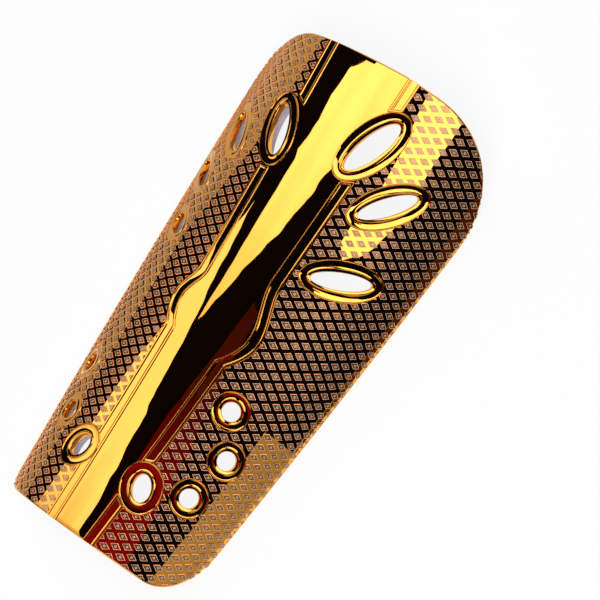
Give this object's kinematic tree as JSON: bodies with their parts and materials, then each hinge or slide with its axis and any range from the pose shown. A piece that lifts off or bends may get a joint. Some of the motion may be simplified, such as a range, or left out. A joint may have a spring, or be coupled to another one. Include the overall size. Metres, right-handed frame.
{
  "type": "football shin guard",
  "caption": "Curved football shin guard for a left leg: hard mirror-gold shell with rimmed vents and a smooth middle band between beaded rails, and a foam liner glued inside.",
  "frame": {"origin": "on the ground under the middle of the guard, which lies on its two long side edges", "axes": "+Y along the guard towards the knee, +Z out of the shin, +X towards the outer side of the left leg"},
  "size_m": [0.1007, 0.19, 0.0358],
  "materials": {
    "gold_plate": "mirror gold plating on moulded plastic",
    "foam": "matte closed-cell foam, pale lilac"
  },
  "bodies": {
    "root": {"shell": "gold_plate", "liner": "foam"}
  },
  "joints": []
}
